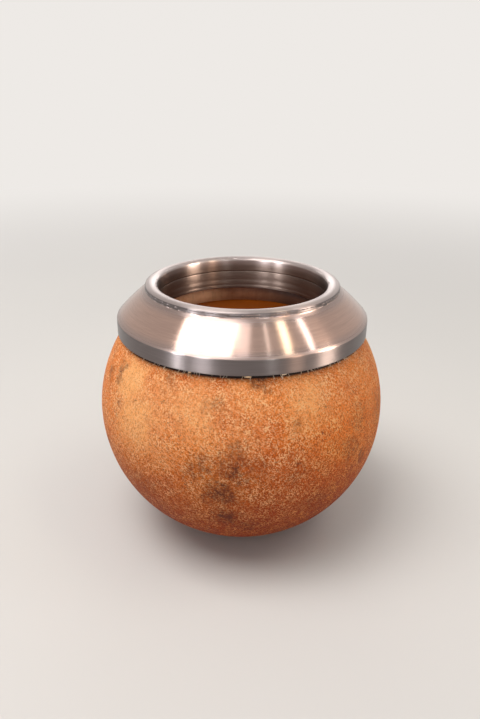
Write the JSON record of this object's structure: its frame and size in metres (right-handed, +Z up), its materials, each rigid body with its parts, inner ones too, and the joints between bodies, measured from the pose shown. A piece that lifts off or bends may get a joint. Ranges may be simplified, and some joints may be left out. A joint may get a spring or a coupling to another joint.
{
  "type": "mate gourd drink",
  "caption": "Round natural gourd mate cup with a spun steel collar and an inner sleeve, filled with an amber-brown drink to just below the neck.",
  "frame": {"origin": "centre of the flat foot, on the surface the gourd stands on", "axes": "+Z up along the gourd's axis through the mouth, -Y towards the viewer, +X to the viewer's right"},
  "size_m": [0.09, 0.09, 0.0822],
  "materials": {
    "gourd_skin": "dry natural gourd rind, satin",
    "collar_steel": "fine circumferential brushing",
    "sleeve_steel": "turned satin steel",
    "drink_liquid": "still amber-brown liquid"
  },
  "bodies": {
    "root": {"gourd_shell": "gourd_skin", "steel_collar": "collar_steel", "mouth_sleeve": "sleeve_steel", "drink": "drink_liquid"}
  },
  "joints": []
}
